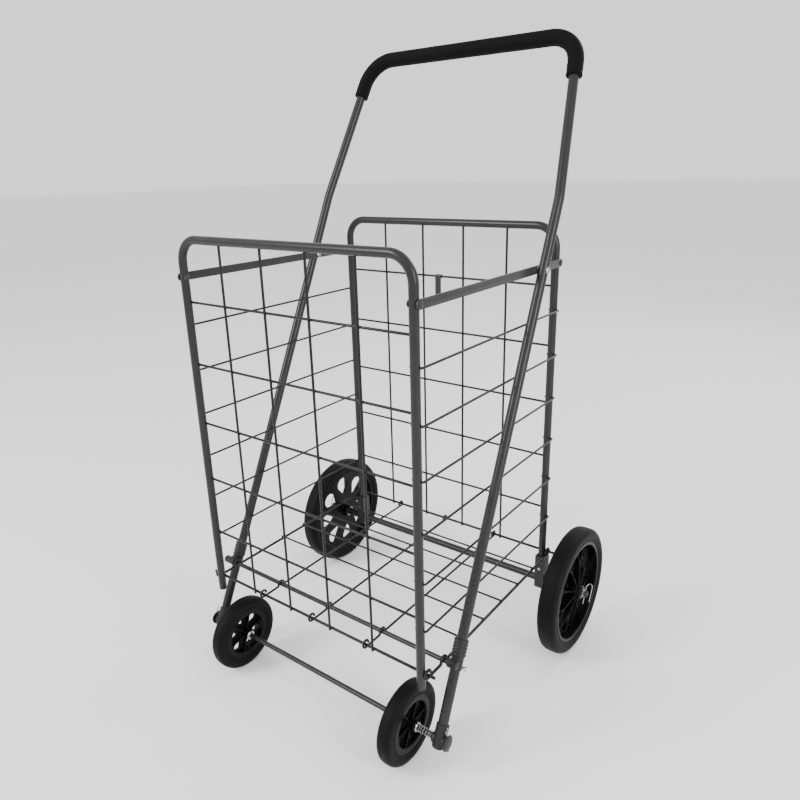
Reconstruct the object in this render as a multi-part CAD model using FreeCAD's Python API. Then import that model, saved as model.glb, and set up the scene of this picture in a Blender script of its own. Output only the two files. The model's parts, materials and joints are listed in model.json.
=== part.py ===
"""Rolling basket trolley: a folding wire basket cart on four wheels.

Frame: millimetres, +Z up, the handle leans back towards +Y, small wheels at -Y,
origin on the ground at the middle of the cart. The cart is symmetric about X = 0.
Each solid sub-part is written to parts/NODE.step at its place in the open cart.
"""
import FreeCAD, Part

import math
import os

# ---- driving dimensions -------------------------------------------------------
HALF_BASKET = 220.0        # X of the centre of each basket side tube
BASKET_DEPTH = 400.0       # front panel to rear panel
FRONT_Y = -230.0           # plane of the front panel
REAR_Y = FRONT_Y + BASKET_DEPTH
PANEL_TOP = 776.0          # centre of the top bar of each panel
TUBE_FOOT = 153.0          # lower end of the basket side tubes
TUBE_R = 6.75
TUBE_WALL = 1.2
HOOP_BEND = 36.0           # centreline radius of the top corners

PANEL_WIRE_R = 2.0
PANEL_UPRIGHTS = (-130.5, -43.5, 43.5, 130.5)
PANEL_ROWS = (268.0, 370.5, 473.0, 575.5, 678.0)
BASE_WIRE_R = 2.4
BASE_WIRE_Z = 177.6
ROW_SET_BACK = 3.4         # the rows are welded behind the uprights
BASE_SET_BACK = 3.9        # and so is the thicker base wire
BASE_REACH = 242.0         # half length of the base wire, stubs outside the tubes

SIDE_WIRE_R = 1.8
SIDE_ROWS = (253.5, 330.5, 407.5, 484.5, 561.5, 638.5)
SIDE_WIRE_BEND = 3.0

LINK_Z = 717.5             # height of the two link bars and their pivots
LINK_HEIGHT = 13.0
LINK_THICK = 3.0
LINK_GAP = 0.3             # between a side tube and its link bar
PIVOT_PIN_R = 2.5
PIN_CLEARANCE = 0.05

HANDLE_R = 8.0
HANDLE_WALL = 1.2
HANDLE_LEAN = math.radians(25.13)
FRONT_AXLE_Y = -221.5
FRONT_AXLE_Z = 66.0
FOOT_X = 246.0             # half width of the handle frame at the front axle
BEND_X = 238.0             # and at the bend above the basket
TOP_X = 208.0              # and at the top corners
BEND_Z = 822.0
GRIP_END_Z = 1000.0
HANDLE_TOP_Z = 1064.0
HANDLE_BEND = 90.0         # centreline radii of the leg bends and the top corners
HANDLE_CORNER = 52.0
GRIP_R = 13.0

ROD_R = 3.75               # cross rod that the basket floor snaps on
ROD_Y = -184.5
ROD_Z = 175.3
ROD_REACH = 251.0
SOCKET_R = 6.6             # moulded sockets that hold the ends of the rod
SOCKET_MOUTH = {-1: 261.0, 1: 253.5}   # the left socket ends in a longer knob
SLEEVE_R = 9.6
SLEEVE_FOOT = 161.0
SLEEVE_TOP = 203.0
SLEEVE_PIN_Z = 167.0
PIN_R = 1.5                # split pins and bracket rivets

FLOOR_WIRE_R = 2.0
FLOOR_EDGE_R = 2.45
FLOOR_LONG = (-114.0, 0.0, 114.0)
FLOOR_EDGE_X = 229.5
FLOOR_CROSS = (-127.5, -68.5, -9.5, 49.5, 108.5)
FLOOR_CROSS_R = 1.75
EYE_GAP = 0.45             # play of the floor eyes on the base wires
EYE_RISE = 1.1             # the front eyes are rounder and stand higher than the rear hooks
HUMP_GAP = 0.4             # play of the floor wires over the cross rod
HUMP_TOE_R = 3.0           # bend at each foot of that hump
HOOK_ANGLE = 130.0         # how far each rear hook wraps over the base wire
HOOK_TAIL = 8.0

REAR_AXLE_Z = 117.5
REAR_AXLE_R = 4.0
REAR_AXLE_REACH = 312.2
REAR_CAP_X = 309.4         # inner face of the domed caps on the rear axle
REAR_WHEEL_X = 282.0
REAR_TYRE_HALF = 17.5
FRONT_AXLE_R = 4.2
BOOT_R = 9.9               # moulded feet on the lower ends of the legs
FRONT_AXLE_REACH = 260.0
FRONT_WHEEL_X = 186.4
FRONT_TYRE_HALF = 12.5

BRACKET_TOP = 168.5
BRACKET_FOOT = 98.0
BRACKET_WALL = 2.5
BRACKET_DEPTH = 22.0
BRACKET_CORNER = 7.0
BRACKET_RIVET_Z = 143.0
REAR_CLIP_X = 308.0
REAR_CLIP_R = 1.0
REAR_CLIP_LEAN = math.radians(64.5)   # of the clip's straight leg, from +Y up
RIB_THICK = 2.0            # ribs and web of the moulded wheel centres
WEB_HALF = 1.75

X_AXIS = FreeCAD.Vector(1, 0, 0)
SIDES = {"left": -1, "right": 1}


# ---- small helpers ------------------------------------------------------------
def vec(x, y, z):
    return FreeCAD.Vector(x, y, z)


def rod(start, end, radius):
    """Round bar between two points."""
    run = end - start
    return Part.makeCylinder(radius, run.Length, start, run)


def bar_x(x_from, x_to, y, z, radius):
    """Round bar along X."""
    return rod(vec(min(x_from, x_to), y, z), vec(max(x_from, x_to), y, z), radius)


def ring_x(x_from, x_to, y, z, outer, inner):
    """Washer or sleeve round an axis along X."""
    body = bar_x(x_from, x_to, y, z, outer)
    return body.cut(bar_x(min(x_from, x_to) - 1, max(x_from, x_to) + 1, y, z, inner))


def fillet_path(points, radii):
    """Wire through points with a tangent arc of the given radius at each inner point."""
    edges = []
    last = points[0]
    for before, corner, after, radius in zip(points, points[1:], points[2:], radii):
        to_corner = (corner - before).normalize()
        from_corner = (after - corner).normalize()
        half_turn = to_corner.getAngle(from_corner) / 2
        reach = radius * math.tan(half_turn)
        enter = corner - to_corner * reach
        leave = corner + from_corner * reach
        inward = (from_corner - to_corner).normalize()
        middle = corner + inward * (radius / math.cos(half_turn) - radius)
        edges.append(Part.LineSegment(last, enter).toShape())
        edges.append(Part.Arc(enter, middle, leave).toShape())
        last = leave
    edges.append(Part.LineSegment(last, points[-1]).toShape())
    return Part.Wire(edges)


def sweep(path, radius):
    """Round bar of the given radius along a smooth wire."""
    first = path.Edges[0]
    start = first.valueAt(first.FirstParameter)
    heading = first.tangentAt(first.FirstParameter)
    section = Part.Wire(Part.Circle(start, heading, radius).toShape())
    return path.makePipeShell([section], True, True)


def turned(profile, x, y, z):
    """Solid of revolution about an X axis; profile holds (offset along X, radius)."""
    points = [vec(x + along, y, z + radius) for along, radius in profile]
    face = Part.Face(Part.makePolygon(points + [points[0]]))
    return face.revolve(vec(x, y, z), X_AXIS, 360)


def turn_about_x(shape, y, z, degrees):
    copy = shape.copy()
    copy.rotate(vec(0, y, z), X_AXIS, degrees)
    return copy


def both_sides(make):
    """Compound of a piece and its mirror image across X = 0."""
    piece = make()
    return Part.makeCompound([piece, piece.mirror(vec(0, 0, 0), X_AXIS)])


def save(name, shape):
    solids = shape.Solids
    if len(solids) == 1:
        out = solids[0]
    else:
        out = Part.makeCompound(solids)
    out.exportStep("parts/" + name + ".step")
    print(name, len(solids), "solids", round(out.Volume), "mm3", out.isValid())


# ---- basket panels ------------------------------------------------------------
def frame_path(plane_y):
    corners = [vec(-HALF_BASKET, plane_y, TUBE_FOOT), vec(-HALF_BASKET, plane_y, PANEL_TOP),
               vec(HALF_BASKET, plane_y, PANEL_TOP), vec(HALF_BASKET, plane_y, TUBE_FOOT)]
    return fillet_path(corners, [HOOP_BEND, HOOP_BEND])


def frame_tube(plane_y):
    """One tube bent into an upside-down U, drilled for every wire and pivot."""
    path = frame_path(plane_y)
    tube = sweep(path, TUBE_R).cut(sweep(path, TUBE_R - TUBE_WALL))
    drills = []
    for side in (-1, 1):
        x = side * HALF_BASKET
        for row_z in SIDE_ROWS:
            drills.append(bar_x(x - 10, x + 10, plane_y, row_z, SIDE_WIRE_R + PIN_CLEARANCE))
        drills.append(bar_x(x - 10, x + 10, plane_y, LINK_Z, PIVOT_PIN_R))
        drills.append(bar_x(x - 10, x + 10, plane_y + BASE_SET_BACK, BASE_WIRE_Z, BASE_WIRE_R))
    return tube.cut(Part.makeCompound(drills))


def panel_wires(plane_y):
    """Welded grid: uprights in the tube plane, rows and the base wire behind them."""
    row_y = plane_y + ROW_SET_BACK
    grid = [bar_x(-HALF_BASKET, HALF_BASKET, row_y, z, PANEL_WIRE_R) for z in PANEL_ROWS]
    for x in PANEL_UPRIGHTS:
        foot = vec(x, plane_y, BASE_WIRE_Z - BASE_WIRE_R)
        grid.append(rod(foot, vec(x, plane_y, PANEL_TOP), PANEL_WIRE_R))
    wires = grid[0].multiFuse(grid[1:])
    wires = wires.cut(sweep(frame_path(plane_y), TUBE_R))
    base = bar_x(-BASE_REACH, BASE_REACH, plane_y + BASE_SET_BACK, BASE_WIRE_Z, BASE_WIRE_R)
    return wires.fuse(base)


def tube_plugs(plane_y):
    """Plastic plugs in the lower ends of the side tubes."""
    def make():
        disc = rod(vec(HALF_BASKET, plane_y, TUBE_FOOT - 2.5), vec(HALF_BASKET, plane_y, TUBE_FOOT), TUBE_R)
        disc = disc.makeFillet(1.2, [disc.Edges[2]])
        shank = rod(vec(HALF_BASKET, plane_y, TUBE_FOOT), vec(HALF_BASKET, plane_y, TUBE_FOOT + 12),
                    TUBE_R - TUBE_WALL)
        return disc.fuse(shank)
    return both_sides(make)


def pivot_rivets(plane_y):
    """Rivets through the side tubes on which the link bars turn."""
    def make():
        bar_outer = HALF_BASKET + TUBE_R + LINK_GAP + LINK_THICK
        pin = bar_x(HALF_BASKET - TUBE_R, bar_outer + 0.3, plane_y, LINK_Z, PIVOT_PIN_R)
        outer_head = turned([(0, 0), (0, 4.8), (0.5, 4.8), (1.2, 3.2), (1.4, 0)],
                            bar_outer + 0.15, plane_y, LINK_Z)
        inner_x = HALF_BASKET - TUBE_R
        inner_head = turned([(0, 0), (0, 5.5), (-1.4, 5.5), (-3.0, 3.6), (-3.4, 0)],
                            inner_x, plane_y, LINK_Z)
        return pin.multiFuse([outer_head, inner_head])
    return both_sides(make)


# ---- folding links ------------------------------------------------------------
def handle_y(z):
    """Y of the inclined handle plane at a height."""
    return FRONT_AXLE_Y + math.tan(HANDLE_LEAN) * (z - FRONT_AXLE_Z)


def handle_x(z):
    """Half width of the handle frame at a height below the bend."""
    part = (z - FRONT_AXLE_Z) / (BEND_Z - FRONT_AXLE_Z)
    return FOOT_X + (BEND_X - FOOT_X) * part


def link_bar(side):
    """Flat bar with round ends: rear pivot, handle pivot and front pivot holes."""
    inner = HALF_BASKET + TUBE_R + LINK_GAP
    half = LINK_HEIGHT / 2
    x = side * (inner + LINK_THICK / 2) - LINK_THICK / 2
    plate = Part.makeBox(LINK_THICK, BASKET_DEPTH, LINK_HEIGHT, vec(x, FRONT_Y, LINK_Z - half))
    ends = [bar_x(x, x + LINK_THICK, y, LINK_Z, half) for y in (FRONT_Y, REAR_Y)]
    plate = plate.multiFuse(ends).removeSplitter()
    hole_r = PIVOT_PIN_R + PIN_CLEARANCE
    for y in (FRONT_Y, REAR_Y):
        plate = plate.cut(bar_x(x - 1, x + LINK_THICK + 1, y, LINK_Z, hole_r))
    return plate.cut(bar_x(x - 1, x + LINK_THICK + 1, handle_y(LINK_Z), LINK_Z, 3.0 + PIN_CLEARANCE))


def side_wires(row_z):
    """Pair of side wires of one level; each end is bent in to turn in a side tube."""
    def make():
        x = HALF_BASKET + TUBE_R + SIDE_WIRE_BEND + 0.05
        pin_x = HALF_BASKET - TUBE_R - 1.5
        points = [vec(pin_x, FRONT_Y, row_z), vec(x, FRONT_Y, row_z),
                  vec(x, REAR_Y, row_z), vec(pin_x, REAR_Y, row_z)]
        return sweep(fillet_path(points, [SIDE_WIRE_BEND, SIDE_WIRE_BEND]), SIDE_WIRE_R)
    return both_sides(make)


# ---- basket floor -------------------------------------------------------------
def arc_yz(x, centre_y, centre_z, radius, start_deg, end_deg):
    """Arc in a plane of constant X, by way of its middle angle."""
    def at(degrees):
        angle = math.radians(degrees)
        return vec(x, centre_y + radius * math.cos(angle), centre_z + radius * math.sin(angle))
    return Part.Arc(at(start_deg), at((start_deg + end_deg) / 2), at(end_deg)).toShape()


def floor_long_wire(x, radius):
    """Fore-and-aft floor wire: an eye on each base wire and a hump over the cross rod."""
    eye_r = BASE_WIRE_R + radius + EYE_GAP
    front_y = FRONT_Y + BASE_SET_BACK
    rear_y = REAR_Y + BASE_SET_BACK
    level = BASE_WIRE_Z - eye_r
    hump_r = ROD_R + HUMP_GAP + radius
    lift = ROD_Z - (level + HUMP_TOE_R)
    spread = math.sqrt((hump_r + HUMP_TOE_R) ** 2 - lift ** 2)
    turn = math.degrees(math.asin(lift / (hump_r + HUMP_TOE_R)))
    edges = [arc_yz(x, front_y, BASE_WIRE_Z + EYE_RISE, eye_r + EYE_RISE, -5, 270),
             Part.LineSegment(vec(x, front_y, level), vec(x, ROD_Y - spread, level)).toShape(),
             arc_yz(x, ROD_Y - spread, level + HUMP_TOE_R, HUMP_TOE_R, -90, turn),
             arc_yz(x, ROD_Y, ROD_Z, hump_r, 180 + turn, -turn),
             arc_yz(x, ROD_Y + spread, level + HUMP_TOE_R, HUMP_TOE_R, 180 - turn, 270),
             Part.LineSegment(vec(x, ROD_Y + spread, level), vec(x, rear_y, level)).toShape(),
             arc_yz(x, rear_y, BASE_WIRE_Z, eye_r, -90, HOOK_ANGLE)]
    tip_angle = math.radians(HOOK_ANGLE)
    hook_end = vec(x, rear_y + eye_r * math.cos(tip_angle), BASE_WIRE_Z + eye_r * math.sin(tip_angle))
    tail = vec(0, -math.sin(tip_angle), math.cos(tip_angle)) * HOOK_TAIL
    edges.append(Part.LineSegment(hook_end, hook_end + tail).toShape())
    return sweep(Part.Wire(edges), radius)


def floor_long_wires():
    wires = [floor_long_wire(x, FLOOR_WIRE_R) for x in FLOOR_LONG]
    wires += [floor_long_wire(side * FLOOR_EDGE_X, FLOOR_EDGE_R) for side in (-1, 1)]
    return Part.makeCompound(wires)


def floor_cross_wires(long_wires):
    """Cross wires welded on top of the fore-and-aft wires."""
    level = BASE_WIRE_Z - (BASE_WIRE_R + FLOOR_WIRE_R + EYE_GAP)
    z = level + FLOOR_WIRE_R + FLOOR_CROSS_R - 0.1
    reach = FLOOR_EDGE_X + FLOOR_EDGE_R
    return Part.makeCompound([bar_x(-reach, reach, y, z, FLOOR_CROSS_R).cut(long_wires)
                              for y in FLOOR_CROSS])


# ---- handle frame -------------------------------------------------------------
def handle_points():
    foot_z = FRONT_AXLE_Z - 7.0
    half = [vec(FOOT_X, handle_y(foot_z), foot_z), vec(BEND_X, handle_y(BEND_Z), BEND_Z),
            vec(TOP_X, handle_y(HANDLE_TOP_Z), HANDLE_TOP_Z)]
    other = [vec(-p.x, p.y, p.z) for p in reversed(half)]
    return half + other


def handle_path():
    return fillet_path(handle_points(), [HANDLE_BEND, HANDLE_CORNER, HANDLE_CORNER, HANDLE_BEND])


def leg_direction(side):
    return (vec(side * BEND_X, handle_y(BEND_Z), BEND_Z)
            - vec(side * FOOT_X, FRONT_AXLE_Y, FRONT_AXLE_Z)).normalize()


def leg_point(side, z):
    return vec(side * handle_x(z), handle_y(z), z)


def handle_tube():
    path = handle_path()
    tube = sweep(path, HANDLE_R).cut(sweep(path, HANDLE_R - HANDLE_WALL))
    for side in (-1, 1):
        pivot = leg_point(side, LINK_Z)
        tube = tube.cut(bar_x(pivot.x - 20, pivot.x + 20, pivot.y, LINK_Z, 3.0))
        foot = leg_point(side, FRONT_AXLE_Z)
        tube = tube.cut(bar_x(foot.x - 20, foot.x + 20, foot.y, foot.z, FRONT_AXLE_R))
    return tube


def foam_grip():
    """Foam sleeve over the top bar, both corners and a little of each leg."""
    low = (GRIP_END_Z - BEND_Z) / (HANDLE_TOP_Z - BEND_Z)
    end_x = BEND_X + (TOP_X - BEND_X) * low
    end = vec(end_x, handle_y(GRIP_END_Z), GRIP_END_Z)
    corner = vec(TOP_X, handle_y(HANDLE_TOP_Z), HANDLE_TOP_Z)
    points = [end, corner, vec(-corner.x, corner.y, corner.z), vec(-end.x, end.y, end.z)]
    path = fillet_path(points, [HANDLE_CORNER, HANDLE_CORNER])
    return sweep(path, GRIP_R).cut(sweep(handle_path(), HANDLE_R))


def handle_bolts(tube):
    """Bolts through the legs and link bars, domed head outside, nut inside."""
    def make():
        pivot = leg_point(1, LINK_Z)
        inner = HALF_BASKET + TUBE_R + LINK_GAP
        shank = bar_x(inner - 2.0, pivot.x + HANDLE_R, pivot.y, LINK_Z, 3.0)
        head = turned([(0, 0), (0, 6.0), (0.8, 6.0), (2.6, 3.6), (3.2, 0)],
                      pivot.x + HANDLE_R - 0.6, pivot.y, LINK_Z)
        nut = turned([(0, 0), (0, 5.4), (-1.0, 5.4), (-2.2, 3.4), (-2.5, 0)],
                     inner - 0.2, pivot.y, LINK_Z)
        return shank.multiFuse([head, nut]).cut(tube)
    return both_sides(make)


def handle_spacers(tube):
    """Thin washers between each link bar and its handle leg."""
    def make():
        pivot = leg_point(1, LINK_Z)
        bar_outer = HALF_BASKET + TUBE_R + LINK_GAP + LINK_THICK
        return ring_x(bar_outer + 0.3, pivot.x - HANDLE_R + 1.0, pivot.y, LINK_Z, 5.5, 3.0).cut(tube)
    return both_sides(make)


def cross_rod():
    return bar_x(-ROD_REACH, ROD_REACH, ROD_Y, ROD_Z, ROD_R)


def rod_sleeve(side, tube):
    """Moulded collar on a leg: ribbed top, plain skirt and a forward socket for the cross rod."""
    along = leg_direction(side)
    low = leg_point(side, SLEEVE_FOOT)
    length = (SLEEVE_TOP - SLEEVE_FOOT) / along.z
    skirt = rod(low, low + along * length, SLEEVE_R)
    wide = rod(low + along * (length - 27), low + along * length, SLEEVE_R + 1.2)
    ribs = [rod(low + along * (length - 24 + 5 * i), low + along * (length - 22 + 5 * i), SLEEVE_R + 1.7)
            for i in range(5)]
    x = side * (FOOT_X - 1)
    socket = bar_x(x - side * 8.5, side * SOCKET_MOUTH[side], ROD_Y, ROD_Z, SOCKET_R)
    web = Part.makeBox(12, handle_y(ROD_Z) - ROD_Y, 12, vec(x - 6, ROD_Y, ROD_Z - 6))
    body = skirt.multiFuse([wide] + ribs + [socket, web])
    return body.cut(tube).cut(cross_rod()).cut(sleeve_pin(side))


def sleeve_pin(side):
    """Split pin through sleeve and leg, its two tips spread on the outside."""
    centre = leg_point(side, SLEEVE_PIN_Z)
    head = vec(centre.x - side * (SLEEVE_R - 0.2), centre.y, centre.z)
    neck = vec(centre.x + side * (SLEEVE_R + 0.6), centre.y, centre.z)
    tips = [neck + vec(side * 8.5, 0, 3.2), neck + vec(side * 6.5, -1.0, -3.6)]
    pieces = [rod(head, neck, PIN_R), rod(head - vec(side * 1.2, 0, 0), head, PIN_R + 1.0)]
    pieces += [rod(neck - vec(side, 0, 0), tip, PIN_R * 0.62) for tip in tips]
    return pieces[0].multiFuse(pieces[1:])


def sleeve_pins():
    return Part.makeCompound([sleeve_pin(-1), sleeve_pin(1)])


def tube_outer():
    return sweep(handle_path(), HANDLE_R)


def foot_boot(side):
    """Moulded foot over the lower end of a leg, bored for the front axle."""
    along = leg_direction(side)
    foot = leg_point(side, FRONT_AXLE_Z)
    start = foot - along * 13
    body = rod(start, foot + along * 24, BOOT_R)
    edges = [e for e in body.Edges if (e.CenterOfMass - start).Length < 1.0]
    body = body.makeFillet(4.0, edges)
    body = body.cut(tube_outer())
    return body.cut(bar_x(foot.x - 30, foot.x + 30, foot.y, foot.z, FRONT_AXLE_R))


def front_cotter(side):
    """Split pin through the front axle, between the boot and the end cap."""
    x = side * 257.8
    top = vec(x, FRONT_AXLE_Y, FRONT_AXLE_Z + 9)
    tips = [vec(x, FRONT_AXLE_Y - 2.0, FRONT_AXLE_Z + 23), vec(x, FRONT_AXLE_Y + 3.0, FRONT_AXLE_Z + 26)]
    shank = rod(vec(x, FRONT_AXLE_Y, FRONT_AXLE_Z - 13.5), top, 0.9)
    prongs = [rod(top - vec(0, 0, 0.6), tip, 0.6) for tip in tips]
    return shank.multiFuse(prongs)


def front_cotters():
    return Part.makeCompound([front_cotter(-1), front_cotter(1)])


def front_axle():
    axle = bar_x(-FRONT_AXLE_REACH, FRONT_AXLE_REACH, FRONT_AXLE_Y, FRONT_AXLE_Z, FRONT_AXLE_R)
    return axle.cut(front_cotters())


def front_axle_caps():
    """Domed caps on the outer ends of the front axle."""
    def make():
        cap = turned([(0, 0), (0, 12.0), (1.4, 12.5), (3.2, 9.5), (4.2, 4.0), (4.3, 0)],
                     258.9, FRONT_AXLE_Y, FRONT_AXLE_Z)
        return cap.cut(front_axle())
    return both_sides(make)


def coil_spring(x_from, x_to, coil_r, wire_r, turns):
    """Closed-pitch compression spring round the front axle."""
    length = x_to - x_from - 2 * wire_r
    helix = Part.makeHelix(length / turns, length, coil_r)
    section = Part.Wire(Part.Circle(vec(coil_r, 0, 0), vec(0, 1, 0.1), wire_r).toShape())
    spring = Part.Wire(helix.Edges).makePipeShell([section], True, True)
    spring.rotate(vec(0, 0, 0), vec(0, 1, 0), 90)
    spring.translate(vec(x_from + wire_r, FRONT_AXLE_Y, FRONT_AXLE_Z))
    return spring


def front_springs():
    return both_sides(lambda: coil_spring(208.0, 235.2, 5.0, 0.65, 5.5))


def front_washers():
    """Zinc washers either side of each front wheel."""
    def make():
        inner = turned([(0, FRONT_AXLE_R), (0, 8.2), (-1.2, 8.2), (-2.6, 6.0), (-2.6, FRONT_AXLE_R)],
                       FRONT_WHEEL_X - 18.4, FRONT_AXLE_Y, FRONT_AXLE_Z)
        outer = turned([(0, FRONT_AXLE_R), (0, 7.6), (1.2, 7.6), (2.6, 6.2), (2.6, FRONT_AXLE_R)],
                       FRONT_WHEEL_X + 18.4, FRONT_AXLE_Y, FRONT_AXLE_Z)
        return Part.makeCompound([inner, outer])
    return both_sides(make)


# ---- rear axle ----------------------------------------------------------------
def axle_bracket(side):
    """Pressed channel round the lower end of a rear tube that carries the axle."""
    half = TUBE_R + BRACKET_WALL
    x = side * HALF_BASKET
    front = REAR_Y - half
    height = BRACKET_TOP - BRACKET_FOOT
    outer = Part.makeBox(2 * half, BRACKET_DEPTH, height, vec(x - half, front, BRACKET_FOOT))
    rim = [e for e in outer.Edges if abs(e.Length - 2 * half) < 0.01
           and (e.CenterOfMass.y > REAR_Y or e.CenterOfMass.z < BRACKET_FOOT + 1)]
    outer = outer.makeFillet(BRACKET_CORNER, rim)
    inner = Part.makeBox(2 * TUBE_R, 2 * BRACKET_DEPTH, height + 2,
                         vec(x - TUBE_R, front + BRACKET_WALL, BRACKET_FOOT - 1))
    channel = outer.cut(inner)
    rivet = rod(vec(x, front - 1, BRACKET_RIVET_Z), vec(x, REAR_Y, BRACKET_RIVET_Z), PIN_R)
    axle = bar_x(x - 20, x + 20, REAR_Y, REAR_AXLE_Z, REAR_AXLE_R)
    return channel.cut(rivet).cut(axle)


def bracket_rivets():
    """Rivets through the front of each bracket into its tube."""
    def make():
        front = REAR_Y - TUBE_R - BRACKET_WALL
        shank = rod(vec(HALF_BASKET, front, BRACKET_RIVET_Z),
                    vec(HALF_BASKET, front + BRACKET_WALL, BRACKET_RIVET_Z), PIN_R)
        head = rod(vec(HALF_BASKET, front - 1.4, BRACKET_RIVET_Z),
                   vec(HALF_BASKET, front, BRACKET_RIVET_Z), 2.8)
        return shank.fuse(head)
    return both_sides(make)


def rear_clip(side):
    """Safety clip: straight leg through the axle, then a bow round the outside of its end."""
    shape = [(0, -19), (0, 14), (4, 19.5), (10.5, 20), (10.5, -12)]
    points = [vec(side * (REAR_CLIP_X + out), REAR_Y + along * math.cos(REAR_CLIP_LEAN),
                  REAR_AXLE_Z + along * math.sin(REAR_CLIP_LEAN)) for out, along in shape]
    return sweep(fillet_path(points, [3.0, 3.0, 4.0]), REAR_CLIP_R)


def rear_clips():
    return Part.makeCompound([rear_clip(-1), rear_clip(1)])


def rear_axle():
    axle = bar_x(-REAR_AXLE_REACH, REAR_AXLE_REACH, REAR_Y, REAR_AXLE_Z, REAR_AXLE_R)
    return axle.cut(rear_clips())


def rear_axle_caps():
    """Domed plastic caps pressed on the ends of the rear axle."""
    def make():
        cap = turned([(0, 0), (0, 6.2), (1.6, 6.2), (3.4, 4.6), (4.4, 2.0), (4.6, 0)],
                     REAR_CAP_X, REAR_Y, REAR_AXLE_Z)
        return cap.cut(rear_axle())
    return both_sides(make)


def rear_cross_tube():
    """Tube on the axle between the two brackets."""
    reach = HALF_BASKET - TUBE_R - BRACKET_WALL
    return ring_x(-reach, reach, REAR_Y, REAR_AXLE_Z, TUBE_R, REAR_AXLE_R)


def rear_spacers():
    """Sleeves on the axle between each bracket and wheel hub."""
    half = HALF_BASKET + TUBE_R + BRACKET_WALL
    return both_sides(lambda: ring_x(half, 259.0, REAR_Y, REAR_AXLE_Z, 8.0, REAR_AXLE_R))


def rear_washers():
    def make():
        inner = ring_x(259.0, 260.6, REAR_Y, REAR_AXLE_Z, 10.0, REAR_AXLE_R)
        outer = ring_x(303.4, 305.0, REAR_Y, REAR_AXLE_Z, 7.0, REAR_AXLE_R)
        return Part.makeCompound([inner, outer])
    return both_sides(make)


# ---- wheels -------------------------------------------------------------------
def tyre(x, y, z, outer_r, inner_r, half):
    """Solid rubber tyre with a flat tread, round shoulders and a stepped side wall."""
    wall = outer_r - inner_r
    right = [(half * 0.84, inner_r), (half * 0.97, inner_r + 0.22 * wall),
             (half, inner_r + 0.42 * wall), (half, inner_r + 0.62 * wall),
             (half * 0.94, outer_r - 0.16 * wall), (half * 0.80, outer_r - 0.05 * wall),
             (half * 0.55, outer_r)]
    left = [(-along, radius) for along, radius in reversed(right)]
    return turned(right + left, x, y, z)


def spoke_hole(x, y, z, centre_r, outer_half, length):
    """Teardrop cutter along X, its point towards the hub."""
    round_r = outer_half
    head = bar_x(x - 40, x + 40, y, z + centre_r, round_r)
    tip = vec(x - 40, y, z + centre_r - length)
    left = vec(x - 40, y - round_r * 0.97, z + centre_r - round_r * 0.2)
    right = vec(x - 40, y + round_r * 0.97, z + centre_r - round_r * 0.2)
    wedge = Part.Face(Part.makePolygon([tip, left, right, tip])).extrude(vec(80, 0, 0))
    return head.fuse(wedge)


def rim(spot, size, side, turn):
    """Moulded wheel centre: rim band, pierced web, hub and the ribs on its web."""
    x, y, z = spot
    half, band_in = size["half"], size["band_in"]
    hub_r, hub_half = size["hub_r"], size["hub_half"]
    band = turned([(-half, band_in + 1.5), (-half + 1.5, band_in), (half - 1.5, band_in),
                   (half, band_in + 1.5), (half, size["rim_r"]), (-half, size["rim_r"])], x, y, z)
    web_x = x + side * size["web_at"]
    web = ring_x(web_x - WEB_HALF, web_x + WEB_HALF, y, z, band_in + 0.5, hub_r - 1)
    hub = turned([(-hub_half, 0), (-hub_half, hub_r - 3), (-hub_half + 2, hub_r - 1.5), (-2, hub_r),
                  (2, hub_r), (hub_half - 2, hub_r - 1.5), (hub_half, hub_r - 3), (hub_half, 0)], x, y, z)
    step = 360.0 / size["spokes"]
    hole = spoke_hole(x, y, z, size["hole_at"], size["hole_half"], size["hole_length"])
    holes = [turn_about_x(hole, y, z, -turn - step * i) for i in range(size["spokes"])]
    web = web.cut(Part.makeCompound(holes))
    ribs = []
    for i in range(size["spokes"]):
        for start, end in size["ribs"]:
            rib = rib_plate(spot, size, side, start, end)
            ribs.append(turn_about_x(rib, y, z, -turn - step * (i + 0.5)))
    solid = band.multiFuse([web, hub] + ribs)
    return solid.cut(bar_x(x - 60, x + 60, y, z, size["bore_r"]))


def rib_plate(spot, size, side, start, end):
    """Thin rib between two polar points (radius, degrees from straight up towards +Y).

    Its outer edge slopes from the height at the hub to the height at the rim band.
    """
    x, y, z = spot
    at_hub, at_band = size["rib_top"]
    corners = []
    for radius, angle in (start, end):
        part = (radius - size["hub_r"]) / (size["band_in"] - size["hub_r"])
        top = at_hub + (at_band - at_hub) * part
        point = vec(0, radius * math.sin(math.radians(angle)), radius * math.cos(math.radians(angle)))
        corners.append([point + vec(x + side * size["rib_foot"], y, z), point + vec(x + side * top, y, z)])
    run = corners[1][0] - corners[0][0]
    across = vec(0, -run.z, run.y).normalize() * RIB_THICK
    outline = [corners[0][0], corners[0][1], corners[1][1], corners[1][0], corners[0][0]]
    face = Part.Face(Part.makePolygon([point - across * 0.5 for point in outline]))
    return face.extrude(across)


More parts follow.
